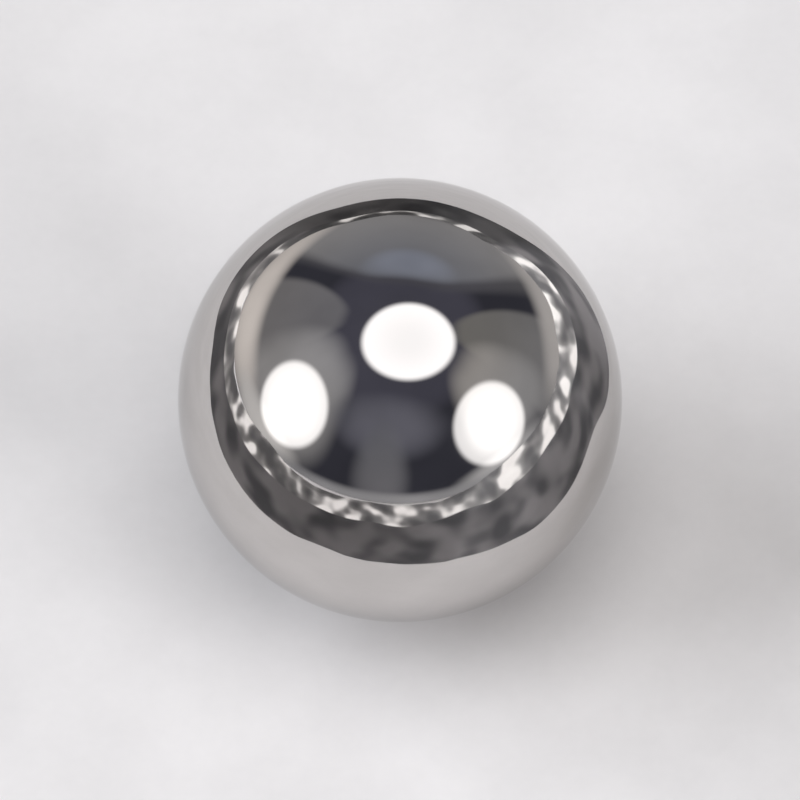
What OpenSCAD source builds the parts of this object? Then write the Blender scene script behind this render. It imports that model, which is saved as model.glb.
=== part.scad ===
// Steel ball: one solid piece, ground and lapped to a true sphere with no seam, flat or hole.
// The origin is the centre of the ball, and +Z points up.

/* [Ball] */
// Diameter of the ball
ball_d = 10; // [1:0.5:50]

/* [Hidden] */
// The sphere is drawn smooth enough to look round at any diameter in the range.
$fn = 96;
// Colour of polished bearing steel
polished_steel = [0.62, 0.63, 0.66];

// The whole ball, about its own centre.
module ball() {
    color(polished_steel)
        sphere(d = ball_d);
}

ball();
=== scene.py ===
"""A polished steel ball on a pale floor, in the light of three round soft boxes.

The file is laid out as a Blender add-on: the sizes and colours that can be changed are properties,
the ball and the studio have an operator each, and a panel in the 3D view's sidebar lists them.

A mirror shows nothing but its surroundings, so the studio is made with as much care as the steel:
soft boxes whose cloth glows unevenly, grey walls with dark gaps between them, and a low band of
card round the ball. The band is dark at its foot, which gives the steel the dark edge that polished
metal needs on a pale floor, and bright along its top, where its palest spots glow as painted glints.
Far behind the ball the card's grey is darkened by painted shade.
"""
import math
from collections import namedtuple

import bpy
from mathutils import Matrix, Vector


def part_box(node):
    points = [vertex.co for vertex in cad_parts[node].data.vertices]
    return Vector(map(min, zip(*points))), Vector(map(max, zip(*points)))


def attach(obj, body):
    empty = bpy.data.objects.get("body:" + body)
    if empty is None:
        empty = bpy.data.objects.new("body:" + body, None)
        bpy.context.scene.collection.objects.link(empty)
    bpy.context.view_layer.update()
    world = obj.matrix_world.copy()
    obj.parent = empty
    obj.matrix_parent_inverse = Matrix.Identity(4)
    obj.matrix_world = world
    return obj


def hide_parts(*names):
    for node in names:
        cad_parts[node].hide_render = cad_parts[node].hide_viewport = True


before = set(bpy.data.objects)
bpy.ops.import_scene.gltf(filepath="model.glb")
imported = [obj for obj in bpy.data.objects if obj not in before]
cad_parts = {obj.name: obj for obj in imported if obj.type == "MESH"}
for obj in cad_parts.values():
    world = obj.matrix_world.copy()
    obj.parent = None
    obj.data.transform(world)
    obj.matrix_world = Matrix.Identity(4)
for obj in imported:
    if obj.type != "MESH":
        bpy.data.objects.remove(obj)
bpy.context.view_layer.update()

bl_info = {
    "name": "Steel Ball",
    "version": (1, 0, 0),
    "blender": (4, 5, 0),
    "location": "3D View > Sidebar > Steel Ball",
    "description": "Adds a polished steel ball and a small studio to see it in",
    "category": "Add Mesh",
}

BODY = "root"
NODE = "ball"
MM = 0.001
BLACK = (0.0, 0.0, 0.0)
WHITE = (1.0, 1.0, 1.0)

ball_low, ball_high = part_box(NODE)
BALL_CENTRE = Vector((0.0, 0.0, (ball_low.z + ball_high.z) / 2))
BALL_DIAMETER = ball_high.z - ball_low.z
FLOOR_LEVEL = ball_low.z


# ---------------------------------------------------------------- settings


class BallSettings(bpy.types.PropertyGroup):
    """Sizes and finish of the ball."""

    diameter: bpy.props.FloatProperty(
        name="Diameter",
        description="Diameter of the ball",
        default=BALL_DIAMETER,
        min=1 * MM,
        max=50 * MM,
        unit="LENGTH",
    )
    fineness: bpy.props.IntProperty(
        name="Fineness",
        description="How many times the ball's first faces are halved",
        default=5,
        min=2,
        max=6,
    )
    steel_colour: bpy.props.FloatVectorProperty(
        name="Steel",
        description="Colour that the bare polished steel reflects",
        default=(0.582, 0.562, 0.549),
        min=0.0,
        max=1.0,
        subtype="COLOR",
    )
    roughness: bpy.props.FloatProperty(
        name="Roughness",
        description="Roughness of the lapped surface, where 0 is a perfect mirror",
        default=0.04,
        min=0.0,
        max=1.0,
        subtype="FACTOR",
    )
    rim: bpy.props.FloatProperty(
        name="Rim",
        description="Share of its usual brightness that the steel's rim has, where it is seen aslant",
        default=0.85,
        min=0.0,
        max=1.0,
        subtype="FACTOR",
    )


class StudioSettings(bpy.types.PropertyGroup):
    """The floor, the light and the camera."""

    floor_colour: bpy.props.FloatVectorProperty(
        name="Floor",
        description="Colour of the pale floor",
        default=(0.83, 0.817, 0.832),
        min=0.0,
        max=1.0,
        subtype="COLOR",
    )
    soft_box_level: bpy.props.FloatProperty(
        name="Soft Box Brightness",
        description="Share of their own radiance at which the soft boxes shine",
        default=1.0,
        min=0.0,
        max=20.0,
    )
    fill_level: bpy.props.FloatProperty(
        name="Fill",
        description="Share of their own light at which the fill lamps shine",
        default=1.0,
        min=0.0,
        max=5.0,
    )
    wall_level: bpy.props.FloatProperty(
        name="Wall Brightness",
        description="Share of their own brightness at which the studio's walls are lit",
        default=1.0,
        min=0.0,
        max=5.0,
    )
    lamp_distance: bpy.props.FloatProperty(
        name="Lamp Distance",
        description="Distance of each lamp from the ball",
        default=1.6,
        min=0.3,
        max=5.0,
        unit="LENGTH",
    )
    camera_elevation: bpy.props.FloatProperty(
        name="Camera Elevation",
        description="Angle of the camera above the floor",
        default=math.radians(55),
        min=0.0,
        max=math.radians(90),
        subtype="ANGLE",
    )
    camera_distance: bpy.props.FloatProperty(
        name="Camera Distance",
        description="Distance of the camera from the middle of the ball",
        default=0.4,
        min=0.05,
        max=2.0,
        unit="LENGTH",
    )
    view_width: bpy.props.FloatProperty(
        name="View Width",
        description="Width of what the camera sees at the ball",
        default=18 * MM,
        min=12 * MM,
        max=200 * MM,
        unit="LENGTH",
    )


# ---------------------------------------------------------------- node helpers

# A Mix node has a set of sockets for each kind of value, all with the same names, so its colour
# sockets go by number.
MIX_FIRST = 6
MIX_SECOND = 7
MIX_RESULT = 2


class Nodes:
    """Adds and joins the nodes of one node tree."""

    def __init__(self, tree):
        self.tree = tree
        tree.nodes.clear()

    def add(self, kind, inputs=None, **settings):
        """Adds a node. Inputs are values or other nodes' outputs, by socket name or number."""
        node = self.tree.nodes.new(kind)
        for name, value in settings.items():
            setattr(node, name, value)
        for key, value in (inputs or {}).items():
            if isinstance(value, bpy.types.NodeSocket):
                self.tree.links.new(value, node.inputs[key])
            else:
                node.inputs[key].default_value = value
        return node

    def math(self, operation, *values):
        """Adds a Math node and returns its output."""
        return self.add("ShaderNodeMath", dict(enumerate(values)), operation=operation).outputs[0]

    def vector(self, operation, *values):
        """Adds a Vector Math node and returns it."""
        return self.add("ShaderNodeVectorMath", dict(enumerate(values)), operation=operation)

    def step(self, value, low, high, to_low=0.0, to_high=1.0):
        """A smooth step from to_low at low to to_high at high."""
        limits = {"From Min": low, "From Max": high, "To Min": to_low, "To Max": to_high}
        inputs = {"Value": value, **limits}
        node = self.add("ShaderNodeMapRange", inputs, interpolation_type="SMOOTHSTEP")
        return node.outputs["Result"]

    def mix(self, factor, first, second):
        """A mix of two colours."""
        inputs = {"Factor": factor, MIX_FIRST: first, MIX_SECOND: second}
        return self.add("ShaderNodeMix", inputs, data_type="RGBA").outputs[MIX_RESULT]

    def noise(self, place, scale, detail):
        """Soft noise from 0 to 1, with its grain 1 / scale across."""
        node = self.add("ShaderNodeTexNoise", {"Vector": place, "Scale": scale, "Detail": detail})
        return node.outputs["Fac"]

    def finish_material(self, inputs):
        """Adds the material's Principled shader with these inputs, and its output."""
        shader = self.add("ShaderNodeBsdfPrincipled", inputs)
        self.add("ShaderNodeOutputMaterial", {"Surface": shader.outputs[0]})


def new_material(name):
    """A new material, and the nodes that are to make its look."""
    material = bpy.data.materials.new(name)
    material.use_nodes = True
    return material, Nodes(material.node_tree)


# ---------------------------------------------------------------- colours and directions


def opaque(rgb, brightness=1.0):
    """A colour with its alpha, at a share of its brightness."""
    return (rgb[0] * brightness, rgb[1] * brightness, rgb[2] * brightness, 1.0)


def direction(azimuth, elevation):
    """The direction at an azimuth from +Y towards +X and an elevation, both in degrees."""
    turn = math.radians(azimuth)
    rise = math.radians(elevation)
    return Vector((math.sin(turn) * math.cos(rise), math.cos(turn) * math.cos(rise), math.sin(rise)))


# ---------------------------------------------------------------- the ball

# The haze in the steel's polish: how many of its clouds lie in a metre, how finely they break up,
# and the noise at which the steel begins to be dull and is dullest.
HAZE_CLOUDS = 260.0
HAZE_DETAIL = 3.0
HAZE_STEP = (0.35, 0.75)

# The shares of its own roughness and colour that the steel has where the haze is least and most.
HAZE_ROUGHNESS = (0.8, 1.5)
HAZE_COLOUR = (0.97, 1.03)


def halve_faces(piece, times):
    """Halves a piece's faces over and over, which also smooths its shape."""
    halve = piece.modifiers.new("halve", "SUBSURF")
    halve.levels = times
    halve.render_levels = times
    bpy.ops.object.modifier_apply(modifier=halve.name)


def polished_steel(settings):
    """Bare hardened steel, lapped to a mirror."""
    material, nodes = new_material("polished_steel")
    place = nodes.add("ShaderNodeTexCoord").outputs["Object"]
    haze = nodes.noise(place, HAZE_CLOUDS, HAZE_DETAIL)
    clearest, dullest = (settings.roughness * share for share in HAZE_ROUGHNESS)
    deepest, palest = (opaque(settings.steel_colour, share) for share in HAZE_COLOUR)
    nodes.finish_material(
        {
            "Roughness": nodes.step(haze, *HAZE_STEP, clearest, dullest),
            "Base Color": nodes.mix(haze, deepest, palest),
            "Metallic": 1.0,
            "Specular Tint": opaque(WHITE, settings.rim),
        }
    )
    return material


def model_ball(settings):
    """A cube whose faces are halved over and over and cast onto the sphere, so that no pole shows."""
    radius = settings.diameter / 2
    bpy.ops.object.select_all(action="DESELECT")
    bpy.ops.mesh.primitive_cube_add(size=radius, location=BALL_CENTRE)
    ball = bpy.context.object
    ball.name = "steel_ball"
    ball.data.name = "steel_ball"
    bpy.ops.object.mode_set(mode="EDIT")
    bpy.ops.mesh.select_all(action="SELECT")
    bpy.ops.mesh.subdivide(number_cuts=1)
    bpy.ops.transform.tosphere(value=1.0)
    bpy.ops.object.mode_set(mode="OBJECT")

    halve_faces(ball, settings.fineness)
    cast = ball.modifiers.new("round", "CAST")
    cast.cast_type = "SPHERE"
    cast.factor = 1.0
    cast.use_radius_as_size = False
    cast.size = radius
    bpy.ops.object.modifier_apply(modifier=cast.name)
    bpy.ops.object.shade_smooth()
    bpy.ops.object.transform_apply(location=True, rotation=True, scale=True)
    return ball


class STEELBALL_OT_ball(bpy.types.Operator):
    """Add the ball, ground round and polished"""

    bl_idname = "steelball.ball"
    bl_label = "Add Ball"
    bl_options = {"REGISTER", "UNDO"}

    def execute(self, context):
        settings = context.scene.steel_ball
        ball = model_ball(settings)
        ball.data.materials.clear()
        ball.data.materials.append(polished_steel(settings))
        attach(ball, BODY)
        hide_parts(NODE)
        return {"FINISHED"}


# ---------------------------------------------------------------- the floor and the card band

# The width of the floor, in metres.
FLOOR_SIZE = 8.0

# The roughness of paper and of card.
MATT = 0.7

# The clouds in the floor's paper: how many lie in a metre, how finely they break up, the noise
# between which they go from dark to pale, and their share of the paper's unevenness.
PAPER_CLOUDS = 260.0
PAPER_CLOUD_DETAIL = 3.0
PAPER_CLOUD_STEP = (0.3, 0.7)
PAPER_CLOUD_SHARE = 0.65

# Its fibres: how many lie in a metre, how finely they break up, and their share.
PAPER_FIBRES = 3500.0
PAPER_FIBRE_DETAIL = 2.0
PAPER_FIBRE_SHARE = 0.35

# The shares of its own colour that the paper has at its darkest and palest, and its faint gloss.
PAPER_SHADES = (0.95, 1.05)
PAPER_GLOSS = 0.1

# The corners of the band in millimetres, from the back by the left and the front to the right: how
# far across and back each stands, and how high the band's dark and bright parts reach there.
Corner = namedtuple("Corner", "across back dark_top bright_top")
BAND = (
    Corner(0, 120, 33, 35.5),
    Corner(-30, 104, 32, 34.5),
    Corner(-8, 8, 5.4, 6.7),
    Corner(-28, 18, 5.5, 9),
    Corner(-24, 4, 5.5, 8.3),
    Corner(-16, -3, 6, 7.6),
    Corner(-10, -9, 6.1, 7.4),
    Corner(-4, -12, 5.9, 7.1),
    Corner(2, -12, 5.9, 7.1),
    Corner(7, -9.5, 6.9, 7.7),
    Corner(10.5, -3.5, 7.8, 8.5),
    Corner(18, 1.5, 7.4, 9.6),
    Corner(7.5, 4.5, 7.4, 8.6),
    Corner(15, 20, 13.4, 14.6),
    Corner(27, 50, 21, 23),
    Corner(34, 108, 33, 35.5),
)

# Roughly how far the corners of the band's faces are shifted, the number that draws the shifts, and
# how many times the faces are halved, both before that and after it.
BAND_UNEVENNESS = 0.6 * MM
BAND_SEED = 4
BAND_HALVINGS = 2

# The two cards of the band: their dark and pale greys, how many clouds lie along a radian as the
# ball sees them, and how brightly the palest spots glow as painted glints.
Card = namedtuple("Card", "dark pale clouds shine")
CARDS = {
    "dark_card": Card((0.13, 0.13, 0.14), (0.37, 0.36, 0.37), 4.0, 0.0),
    "bright_card_painted_glints": Card((0.27, 0.27, 0.28), (0.80, 0.79, 0.78), 6.5, 0.9),
}

# How finely a card's clouds break up, the noise between which its grey goes from dark to pale, and
# the noise between which a painted glint begins and is full, with the painted glints' colour.
CARD_DETAIL = 1.0
CARD_GREY_STEP = (0.35, 0.65)
CARD_PAINTED_GLINT_STEP = (0.51, 0.63)
CARD_PAINTED_GLINT_COLOUR = (1.0, 0.98, 0.97)

# Painted shade: the share of its own grey that the card keeps far behind the ball, and where that
# painted shade begins and is full.
FAR_PAINTED_SHADE = 0.3
FAR_PAINTED_SHADE_BEGINS = 10 * MM
FAR_PAINTED_SHADE_FULL = 40 * MM


def paper(settings):
    """Pale matt paper, faintly clouded and with a fine grain."""
    material, nodes = new_material("paper")
    place = nodes.add("ShaderNodeTexCoord").outputs["Object"]
    cloud = nodes.step(nodes.noise(place, PAPER_CLOUDS, PAPER_CLOUD_DETAIL), *PAPER_CLOUD_STEP)
    fibre = nodes.noise(place, PAPER_FIBRES, PAPER_FIBRE_DETAIL)
    clouds = nodes.math("MULTIPLY", cloud, PAPER_CLOUD_SHARE)
    both = nodes.math("MULTIPLY_ADD", fibre, PAPER_FIBRE_SHARE, clouds)
    darkest, palest = (opaque(settings.floor_colour, share) for share in PAPER_SHADES)
    nodes.finish_material(
        {
            "Base Color": nodes.mix(both, darkest, palest),
            "Roughness": MATT,
            "Specular IOR Level": PAPER_GLOSS,
        }
    )
    return material


def uneven_card_painted_shade_and_glints():
    """A node group: an uneven grey with painted shade that darkens it far behind the ball, and
    painted glints on its palest spots.
    """
    group = bpy.data.node_groups.new("uneven_card_painted_shade_and_glints", "ShaderNodeTree")
    group.interface.new_socket("Dark", in_out="INPUT", socket_type="NodeSocketColor")
    group.interface.new_socket("Pale", in_out="INPUT", socket_type="NodeSocketColor")
    group.interface.new_socket("Clouds", in_out="INPUT", socket_type="NodeSocketFloat")
    group.interface.new_socket("GreyWithPaintedShade", in_out="OUTPUT", socket_type="NodeSocketColor")
    group.interface.new_socket("PaintedGlints", in_out="OUTPUT", socket_type="NodeSocketColor")

    nodes = Nodes(group)
    given = nodes.add("NodeGroupInput").outputs
    place = nodes.add("ShaderNodeTexCoord").outputs["Object"]
    seen_from_ball = nodes.vector("NORMALIZE", place).outputs[0]
    cloud = nodes.noise(seen_from_ball, given["Clouds"], CARD_DETAIL)
    grey = nodes.mix(nodes.step(cloud, *CARD_GREY_STEP), given["Dark"], given["Pale"])
    back = nodes.add("ShaderNodeSeparateXYZ", {0: place}).outputs["Y"]
    # Painted shade: the card's grey is darkened far behind the ball.
    near = nodes.step(back, FAR_PAINTED_SHADE_FULL, FAR_PAINTED_SHADE_BEGINS, FAR_PAINTED_SHADE, 1.0)
    # Painted glints: the palest spots of the card's clouds glow.
    painted_glints = nodes.step(cloud, *CARD_PAINTED_GLINT_STEP)
    nodes.add(
        "NodeGroupOutput",
        {
            "GreyWithPaintedShade": nodes.mix(near, opaque(BLACK), grey),
            "PaintedGlints": nodes.mix(painted_glints, opaque(BLACK), opaque(CARD_PAINTED_GLINT_COLOUR)),
        },
    )
    return group


def card(name, look, uneven):
    """Card of an uneven grey with painted shade far behind the ball, whose palest spots glow as
    painted glints.
    """
    material, nodes = new_material(name)
    inputs = {"Dark": opaque(look.dark), "Pale": opaque(look.pale), "Clouds": look.clouds}
    greys = nodes.add("ShaderNodeGroup", inputs, node_tree=uneven).outputs
    nodes.finish_material(
        {
            "Base Color": greys["GreyWithPaintedShade"],
            "Roughness": MATT,
            # The emission is painted glints, on the card's palest spots.
            "Emission Color": greys["PaintedGlints"],
            "Emission Strength": look.shine,
        }
    )
    return material


def add_floor(settings):
    """A wide pale floor under the ball."""
    bpy.ops.mesh.primitive_plane_add(size=FLOOR_SIZE, location=(0, 0, FLOOR_LEVEL))
    floor = bpy.context.object
    floor.name = "floor"
    floor.data.materials.append(paper(settings))


def add_card_band():
    """A low band of card round the ball, dark at its foot and bright along its top, where its palest
    spots glow as painted glints.

    Only reflections see it, and it casts no shadow.
    """
    bpy.ops.object.select_all(action="DESELECT")
    floor_line = [0.0] * len(BAND)
    dark_line = [corner.dark_top for corner in BAND]
    bright_line = [corner.bright_top for corner in BAND]
    outlines = []
    for heights in (floor_line, dark_line, bright_line):
        bpy.ops.mesh.primitive_circle_add(
            vertices=len(BAND), fill_type="NOTHING", location=(0, 0, 0)
        )
        outline = bpy.context.object
        for vertex, corner, height in zip(outline.data.vertices, BAND, heights):
            vertex.co = (corner.across * MM, corner.back * MM, FLOOR_LEVEL + height * MM)
        outlines.append(outline)
    for outline in outlines:
        outline.select_set(True)
    bpy.ops.object.join()
    band = bpy.context.object
    band.name = "card_band"
    bpy.ops.object.mode_set(mode="EDIT")
    bpy.ops.mesh.select_all(action="SELECT")
    bpy.ops.mesh.bridge_edge_loops()
    bpy.ops.object.mode_set(mode="OBJECT")

    uneven = uneven_card_painted_shade_and_glints()
    for name, look in CARDS.items():
        band.data.materials.append(card(name, look, uneven))
    kinds = list(CARDS)
    foot = {vertex.index for vertex in band.data.vertices if vertex.co.z == FLOOR_LEVEL}
    for face in band.data.polygons:
        kind = "dark_card" if foot.intersection(face.vertices) else "bright_card_painted_glints"
        face.material_index = kinds.index(kind)
    halve_faces(band, BAND_HALVINGS)

    bpy.ops.object.mode_set(mode="EDIT")
    bpy.ops.mesh.select_all(action="SELECT")
    bpy.ops.transform.vertex_random(offset=BAND_UNEVENNESS, seed=BAND_SEED)
    bpy.ops.object.mode_set(mode="OBJECT")
    halve_faces(band, BAND_HALVINGS)
    bpy.ops.object.shade_smooth()
    band.visible_camera = False
    band.visible_diffuse = False
    band.visible_shadow = False


# ---------------------------------------------------------------- the light

# A lamp as seen from the ball: where its middle stands, and the angles from there to its side and
# to its top, in degrees.
Lamp = namedtuple("Lamp", "azimuth elevation half_width half_height")

# The direction towards which each lamp's top is turned, which matters for an oval one.
LAMP_TOP = direction(0, 60)

# The soft boxes, and the radiance of each at its middle and near its rim, where 1 is a white card
# in full light.
SOFT_BOXES = {
    "overhead": (Lamp(135, 84, 25.2, 22.2), 1.55, 1.75),
    "left": (Lamp(-112, 25, 21.3, 21.3), 2.0, 1.3),
    "right": (Lamp(126, 25, 21.5, 21.5), 2.0, 1.3),
}

# The fill lamps: the light that each adds on a card that faces it, where 1 is full light, and its
# colour.
FILL_LAMPS = {
    "left": (Lamp(-85, 29, 28, 28), 0.67, (0.955, 0.975, 1.0)),
    "right": (Lamp(115, 30, 28, 28), 0.24, (1.0, 0.97, 0.94)),
    "overhead": (Lamp(160, 80, 24, 24), 0.16, (1.0, 0.96, 0.92)),
}

# A soft box's middle, where its width and height both run from 0 to 1. Then, how far from there its
# cloth changes from its middle radiance to the one near its rim, and how far out it fades away.
CLOTH_MIDDLE = (0.5, 0.5, 0.0)
CLOTH_STEP = (0.05, 0.45)
CLOTH_FADE = (0.50, 0.41)


def add_lamp(name, place, settings):
    """An oval lamp that faces the ball. Its energy gives it a radiance of 1 all over."""
    towards = direction(place.azimuth, place.elevation)
    side = LAMP_TOP.cross(towards).normalized()
    top = towards.cross(side)
    bpy.ops.object.light_add(
        type="AREA",
        location=BALL_CENTRE + towards * settings.lamp_distance,
        rotation=Matrix((side, top, towards)).transposed().to_euler(),
    )
    lamp = bpy.context.object
    lamp.name = name
    half_width = settings.lamp_distance * math.tan(math.radians(place.half_width))
    half_height = settings.lamp_distance * math.tan(math.radians(place.half_height))
    area = math.pi * half_width * half_height
    lamp.data.shape = "ELLIPSE"
    lamp.data.size = 2 * half_width
    lamp.data.size_y = 2 * half_height
    lamp.data.energy = math.pi * area
    return lamp


def soften(lamp, middle, rim):
    """Makes a lamp a soft box, whose cloth glows unevenly and fades out at its rim."""
    lamp.data.use_nodes = True
    nodes = Nodes(lamp.data.node_tree)
    spot = nodes.add("ShaderNodeNewGeometry").outputs["Parametric"]
    from_middle = nodes.vector("SUBTRACT", spot, CLOTH_MIDDLE).outputs[0]
    away = nodes.vector("LENGTH", from_middle).outputs["Value"]
    cloth = nodes.step(away, *CLOTH_STEP, middle, rim)
    fade = nodes.step(away, *CLOTH_FADE)
    glow = nodes.add("ShaderNodeEmission", {"Strength": nodes.math("MULTIPLY", cloth, fade)})
    nodes.add("ShaderNodeOutputLight", {"Surface": glow.outputs[0]})


def add_lamps(settings):
    """Three soft boxes, and the fill lamps, which the ball doesn't show."""
    for name, (place, middle, rim) in SOFT_BOXES.items():
        lamp = add_lamp(f"soft_box_{name}", place, settings)
        soften(lamp, middle * settings.soft_box_level, rim * settings.soft_box_level)
    for name, (place, light, colour) in FILL_LAMPS.items():
        lamp = add_lamp(f"fill_{name}", place, settings)
        lamp.data.color = colour
        # What a round lamp of this width adds on a card that faces it, at a radiance of 1.
        most = math.sin(math.radians(place.half_width)) ** 2
        lamp.data.energy *= settings.fill_level * light / most
        lamp.visible_glossy = False


# ---------------------------------------------------------------- the walls

# A lit part of the studio's walls: its middle and half its size, as azimuth and elevation in
# degrees, how square its corners are, how soft its edge is, and its colours at its foot and head.
Panel = namedtuple("Panel", "azimuth elevation half_width half_height squareness softness foot head")

# The colour of the walls where nothing lights them, and the lit parts, each over those before it.
DARK_WALL = (0.044, 0.045, 0.059)
PANELS = {
    "ceiling": Panel(0, 80, 400, 34, 4, 0.4, (0.083, 0.083, 0.111), (0.12, 0.118, 0.135)),
    "back_arch": Panel(8, 20, 46, 43, 3, 0.15, (0.13, 0.13, 0.14), (0.10, 0.10, 0.12)),
    "back_wall": Panel(6, 18, 41, 40, 3, 0.15, (0.34, 0.335, 0.34), (0.20, 0.21, 0.24)),
    "back_top": Panel(6, 49, 27, 9, 2, 0.7, (0.285, 0.31, 0.38), (0.285, 0.31, 0.38)),
    "left_wall": Panel(-66, 24, 21, 38, 3, 0.2, (0.22, 0.215, 0.22), (0.215, 0.215, 0.235)),
    "left_glow": Panel(-107, 31, 33, 31, 3, 0.5, (0.38, 0.375, 0.38), (0.46, 0.46, 0.48)),
    "left_foot": Panel(-55, 7, 34, 9, 2, 0.8, (0.85, 0.80, 0.76), (0.85, 0.80, 0.76)),
    "left_box_foot": Panel(-104, 4, 22, 7, 2, 0.7, (0.75, 0.74, 0.73), (0.75, 0.74, 0.73)),
    "right_wall": Panel(82, 24, 20, 40, 3, 0.2, (0.225, 0.225, 0.235), (0.24, 0.235, 0.225)),
    "right_glow": Panel(112, 32, 27, 26, 3, 0.5, (0.38, 0.38, 0.39), (0.50, 0.48, 0.46)),
    "right_foot": Panel(60, 5, 30, 10, 2, 0.8, (0.60, 0.58, 0.57), (0.60, 0.58, 0.57)),
    "right_box_foot": Panel(128, 3, 24, 7, 2, 0.7, (0.60, 0.60, 0.61), (0.60, 0.60, 0.61)),
    "back_foot": Panel(12, 4, 22, 9, 2, 0.7, (0.11, 0.108, 0.113), (0.11, 0.108, 0.113)),
    "front_high": Panel(-172, 40, 34, 15, 2, 0.8, (0.17, 0.172, 0.21), (0.17, 0.172, 0.21)),
    "front_column": Panel(-170, 16, 13, 24, 2, 0.8, (0.21, 0.21, 0.23), (0.19, 0.195, 0.22)),
    "front_foot": Panel(180, 0, 60, 5, 2, 0.8, (0.42, 0.42, 0.44), (0.42, 0.42, 0.44)),
}

# The walls' faint clouds: how many lie along a radian, how finely they break up, the noise between
# which they go from dim to bright, and the shares of their own light that the walls then have.
WALL_CLOUDS = 2.0
WALL_CLOUD_DETAIL = 2.0
WALL_CLOUD_STEP = (0.3, 0.7)
WALL_CLOUD_SHADES = (0.93, 1.07)


def distance(nodes, turn, half_width, squareness):
    """How far out a turn is in half a panel's width, bent to the squareness of its corners."""
    share = nodes.math("ABSOLUTE", nodes.math("DIVIDE", turn, half_width))
    return nodes.math("POWER", share, squareness)


def studio_walls(settings):
    """The walls as one colour for each direction: dark, with the lit panels one over the other."""
    world = bpy.data.worlds.new("studio")
    bpy.context.scene.world = world
    world.use_nodes = True
    nodes = Nodes(world.node_tree)
    towards = nodes.add("ShaderNodeTexCoord").outputs["Generated"]
    across, back, up = nodes.add("ShaderNodeSeparateXYZ", {0: towards}).outputs
    azimuth = nodes.math("DEGREES", nodes.math("ARCTAN2", across, back))
    elevation = nodes.math("DEGREES", nodes.math("ARCSINE", up))

    tone = opaque(DARK_WALL)
    for panel in PANELS.values():
        turn = nodes.math("WRAP", nodes.math("SUBTRACT", azimuth, panel.azimuth), 180.0, -180.0)
        rise = nodes.math("SUBTRACT", elevation, panel.elevation)
        sideways = distance(nodes, turn, panel.half_width, panel.squareness)
        upwards = distance(nodes, rise, panel.half_height, panel.squareness)
        out = nodes.math("ADD", sideways, upwards)
        # A panel's outline is where this is 1.
        inside = nodes.step(out, 1.0 + panel.softness, max(0.0, 1.0 - 2 * panel.softness))
        height = nodes.step(rise, -panel.half_height / 2, panel.half_height)
        tone = nodes.mix(inside, tone, nodes.mix(height, opaque(panel.foot), opaque(panel.head)))

    cloud = nodes.noise(towards, WALL_CLOUDS, WALL_CLOUD_DETAIL)
    shade = nodes.step(cloud, *WALL_CLOUD_STEP, *WALL_CLOUD_SHADES)
    strength = nodes.math("MULTIPLY", shade, settings.wall_level)
    walls = nodes.add("ShaderNodeBackground", {"Color": tone, "Strength": strength})
    nodes.add("ShaderNodeOutputWorld", {"Surface": walls.outputs[0]})
    # The lamps alone light the floor, and the walls are there to be reflected.
    world.cycles_visibility.diffuse = False


# ---------------------------------------------------------------- the camera and the studio

# The nearest and the farthest that the camera sees, in metres.
CAMERA_NEAR = 0.01
CAMERA_FAR = 20.0


def add_camera(settings):
    """A camera that looks down on the ball."""
    back = direction(180, math.degrees(settings.camera_elevation))
    bpy.ops.object.camera_add(
        location=BALL_CENTRE + back * settings.camera_distance,
        rotation=back.to_track_quat("Z", "Y").to_euler(),
    )
    camera = bpy.context.object
    camera.name = "camera"
    camera.data.lens = camera.data.sensor_width * settings.camera_distance / settings.view_width
    camera.data.clip_start = CAMERA_NEAR
    camera.data.clip_end = CAMERA_FAR
    bpy.context.scene.camera = camera


class STEELBALL_OT_studio(bpy.types.Operator):
    """Add the pale floor, the card band, the lamps, the walls and the camera"""

    bl_idname = "steelball.studio"
    bl_label = "Add Studio"
    bl_options = {"REGISTER", "UNDO"}

    def execute(self, context):
        settings = context.scene.steel_ball_studio
        context.scene.view_settings.view_transform = "Standard"
        add_floor(settings)
        add_card_band()
        add_lamps(settings)
        studio_walls(settings)
        add_camera(settings)
        return {"FINISHED"}


class STEELBALL_PT_panel(bpy.types.Panel):
    """The ball's and the studio's settings, with a button for each"""

    bl_idname = "STEELBALL_PT_panel"
    bl_label = "Steel Ball"
    bl_space_type = "VIEW_3D"
    bl_region_type = "UI"
    bl_category = "Steel Ball"

    def draw(self, context):
        for settings, button in (
            (context.scene.steel_ball, STEELBALL_OT_ball.bl_idname),
            (context.scene.steel_ball_studio, STEELBALL_OT_studio.bl_idname),
        ):
            box = self.layout.box()
            for name in settings.__annotations__:
                box.prop(settings, name)
            box.operator(button)


CLASSES = (BallSettings, StudioSettings, STEELBALL_OT_ball, STEELBALL_OT_studio, STEELBALL_PT_panel)


def register():
    for each in CLASSES:
        bpy.utils.register_class(each)
    bpy.types.Scene.steel_ball = bpy.props.PointerProperty(type=BallSettings)
    bpy.types.Scene.steel_ball_studio = bpy.props.PointerProperty(type=StudioSettings)


def unregister():
    del bpy.types.Scene.steel_ball_studio
    del bpy.types.Scene.steel_ball
    for each in reversed(CLASSES):
        bpy.utils.unregister_class(each)


def main():
    register()
    bpy.ops.steelball.studio()
    bpy.ops.steelball.ball()


if __name__ == "__main__":
    main()
